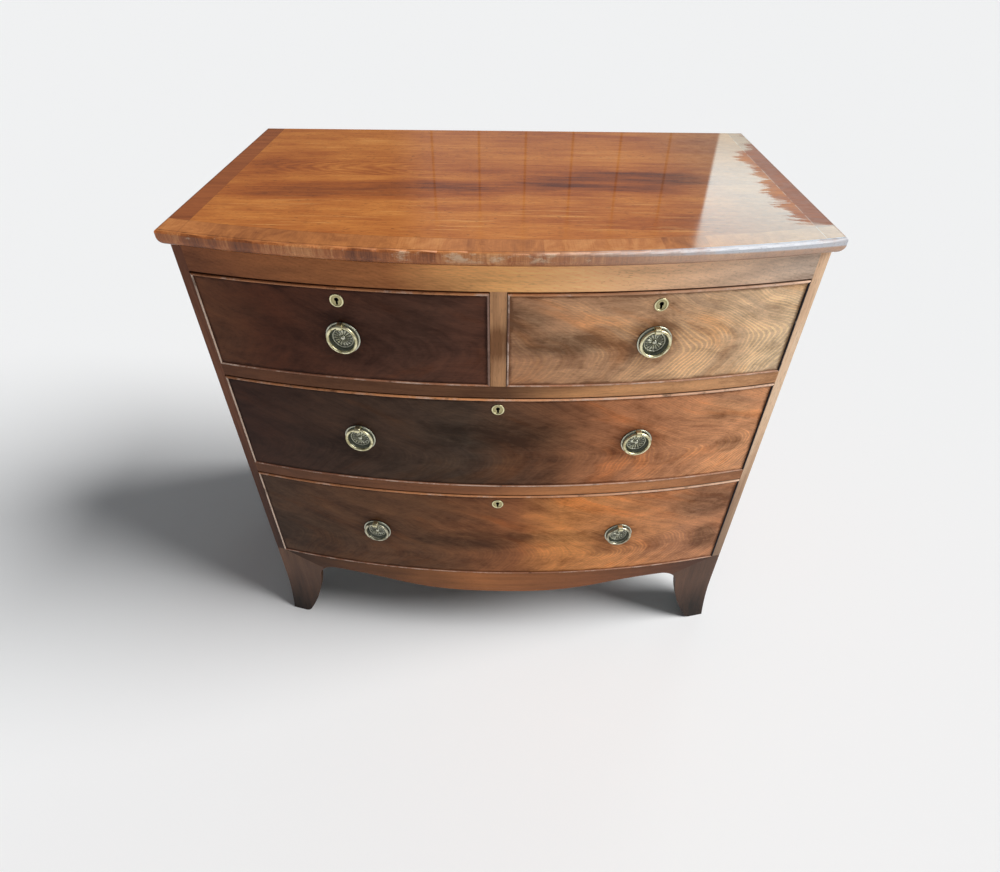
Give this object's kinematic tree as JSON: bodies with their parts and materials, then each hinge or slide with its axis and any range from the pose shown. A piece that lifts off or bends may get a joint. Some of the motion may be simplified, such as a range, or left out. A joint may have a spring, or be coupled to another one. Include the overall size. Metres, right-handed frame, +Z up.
{
  "type": "bow front chest of drawers",
  "caption": "Bow fronted chest with short drawers over long ones, cock beading, round ring handles and splayed bracket feet.",
  "frame": {"origin": "on the floor, under the middle of the overall box", "axes": "+Z up, -Y towards the drawers' fronts, +X to the right as one stands before the chest"},
  "size_m": [0.92, 0.557, 0.862],
  "materials": {
    "mahogany_top": "waxed and worn mahogany, long grain, cross banded edge",
    "mahogany_drawer": "waxed figured mahogany veneer",
    "mahogany_rail": "waxed mahogany",
    "mahogany_side": "waxed mahogany, vertical grain",
    "mahogany_foot": "dark worn mahogany",
    "cockbead_wood": "worn edge bead",
    "pine": "old dry pine",
    "oak": "old dry oak",
    "brass": "aged lacquerless brass",
    "steel": "old dark steel"
  },
  "bodies": {
    "carcass": {"top": "mahogany_top", "side_left": "mahogany_side", "side_right": "mahogany_side", "frieze_rail": "mahogany_rail", "upper_rail": "mahogany_rail", "lower_rail": "mahogany_rail", "drawer_divider": "mahogany_rail", "partition": "pine", "dust_boards": "pine", "bottom_board": "pine", "back_boards": "pine", "runners_and_stops": "oak", "top_ties": "pine", "apron": "mahogany_rail", "foot_front_left": "mahogany_foot", "foot_front_right": "mahogany_foot", "back_feet": "mahogany_foot", "glue_blocks": "pine"},
    "short_left_drawer": {"short_left_front": "mahogany_drawer", "short_left_cockbead": "cockbead_wood", "short_left_sides": "oak", "short_left_back": "oak", "short_left_bottom": "oak", "short_left_lock_case": "brass", "short_left_escutcheon": "brass", "short_left_handle_plates": "brass"},
    "short_left_bolt": {"short_left_lock_bolt": "steel"},
    "short_left_ring_body": {"short_left_ring": "brass"},
    "short_right_drawer": {"short_right_front": "mahogany_drawer", "short_right_cockbead": "cockbead_wood", "short_right_sides": "oak", "short_right_back": "oak", "short_right_bottom": "oak", "short_right_lock_case": "brass", "short_right_escutcheon": "brass", "short_right_handle_plates": "brass"},
    "short_right_bolt": {"short_right_lock_bolt": "steel"},
    "short_right_ring_body": {"short_right_ring": "brass"},
    "middle_drawer": {"middle_front": "mahogany_drawer", "middle_cockbead": "cockbead_wood", "middle_sides": "oak", "middle_back": "oak", "middle_bottom": "oak", "middle_lock_case": "brass", "middle_escutcheon": "brass", "middle_handle_plates": "brass"},
    "middle_bolt": {"middle_lock_bolt": "steel"},
    "middle_left_ring_body": {"middle_left_ring": "brass"},
    "middle_right_ring_body": {"middle_right_ring": "brass"},
    "bottom_drawer": {"bottom_front": "mahogany_drawer", "bottom_cockbead": "cockbead_wood", "bottom_sides": "oak", "bottom_back": "oak", "bottom_bottom": "oak", "bottom_lock_case": "brass", "bottom_escutcheon": "brass", "bottom_handle_plates": "brass"},
    "bottom_bolt": {"bottom_lock_bolt": "steel"},
    "bottom_left_ring_body": {"bottom_left_ring": "brass"},
    "bottom_right_ring_body": {"bottom_right_ring": "brass"}
  },
  "joints": [
    {"name": "short_left_slide", "type": "slide", "parent": "carcass", "child": "short_left_drawer", "axis": [0, -1, 0], "range_m": [0, 0.4]},
    {"name": "short_left_bolt_throw", "type": "slide", "parent": "short_left_drawer", "child": "short_left_bolt", "axis": [0, 0, 1], "range_m": [0, 0.0075]},
    {"name": "short_left_ring_hinge", "type": "hinge", "parent": "short_left_drawer", "child": "short_left_ring_body", "pos_m": [-0.22379, -0.2557, 0.7391], "axis": [-0.9929, 0.1194, 0], "range_deg": [-2, 165]},
    {"name": "short_right_slide", "type": "slide", "parent": "carcass", "child": "short_right_drawer", "axis": [0, -1, 0], "range_m": [0, 0.4]},
    {"name": "short_right_bolt_throw", "type": "slide", "parent": "short_right_drawer", "child": "short_right_bolt", "axis": [0, 0, 1], "range_m": [0, 0.0075]},
    {"name": "short_right_ring_hinge", "type": "hinge", "parent": "short_right_drawer", "child": "short_right_ring_body", "pos_m": [0.22379, -0.2557, 0.7391], "axis": [-0.9929, -0.1194, 0], "range_deg": [-2, 165]},
    {"name": "middle_slide", "type": "slide", "parent": "carcass", "child": "middle_drawer", "axis": [0, -1, 0], "range_m": [0, 0.4]},
    {"name": "middle_bolt_throw", "type": "slide", "parent": "middle_drawer", "child": "middle_bolt", "axis": [0, 0, 1], "range_m": [0, 0.0075]},
    {"name": "middle_left_ring_hinge", "type": "hinge", "parent": "middle_drawer", "child": "middle_left_ring_body", "pos_m": [-0.22579, -0.25545, 0.5497], "axis": [-0.9927, 0.1204, 0], "range_deg": [-2, 165]},
    {"name": "middle_right_ring_hinge", "type": "hinge", "parent": "middle_drawer", "child": "middle_right_ring_body", "pos_m": [0.22579, -0.25545, 0.5497], "axis": [-0.9927, -0.1204, 0], "range_deg": [-2, 165]},
    {"name": "bottom_slide", "type": "slide", "parent": "carcass", "child": "bottom_drawer", "axis": [0, -1, 0], "range_m": [0, 0.4]},
    {"name": "bottom_bolt_throw", "type": "slide", "parent": "bottom_drawer", "child": "bottom_bolt", "axis": [0, 0, 1], "range_m": [0, 0.0075]},
    {"name": "bottom_left_ring_hinge", "type": "hinge", "parent": "bottom_drawer", "child": "bottom_left_ring_body", "pos_m": [-0.22579, -0.25545, 0.3219], "axis": [-0.9927, 0.1204, 0], "range_deg": [-2, 165]},
    {"name": "bottom_right_ring_hinge", "type": "hinge", "parent": "bottom_drawer", "child": "bottom_right_ring_body", "pos_m": [0.22579, -0.25545, 0.3219], "axis": [-0.9927, -0.1204, 0], "range_deg": [-2, 165]}
  ]
}
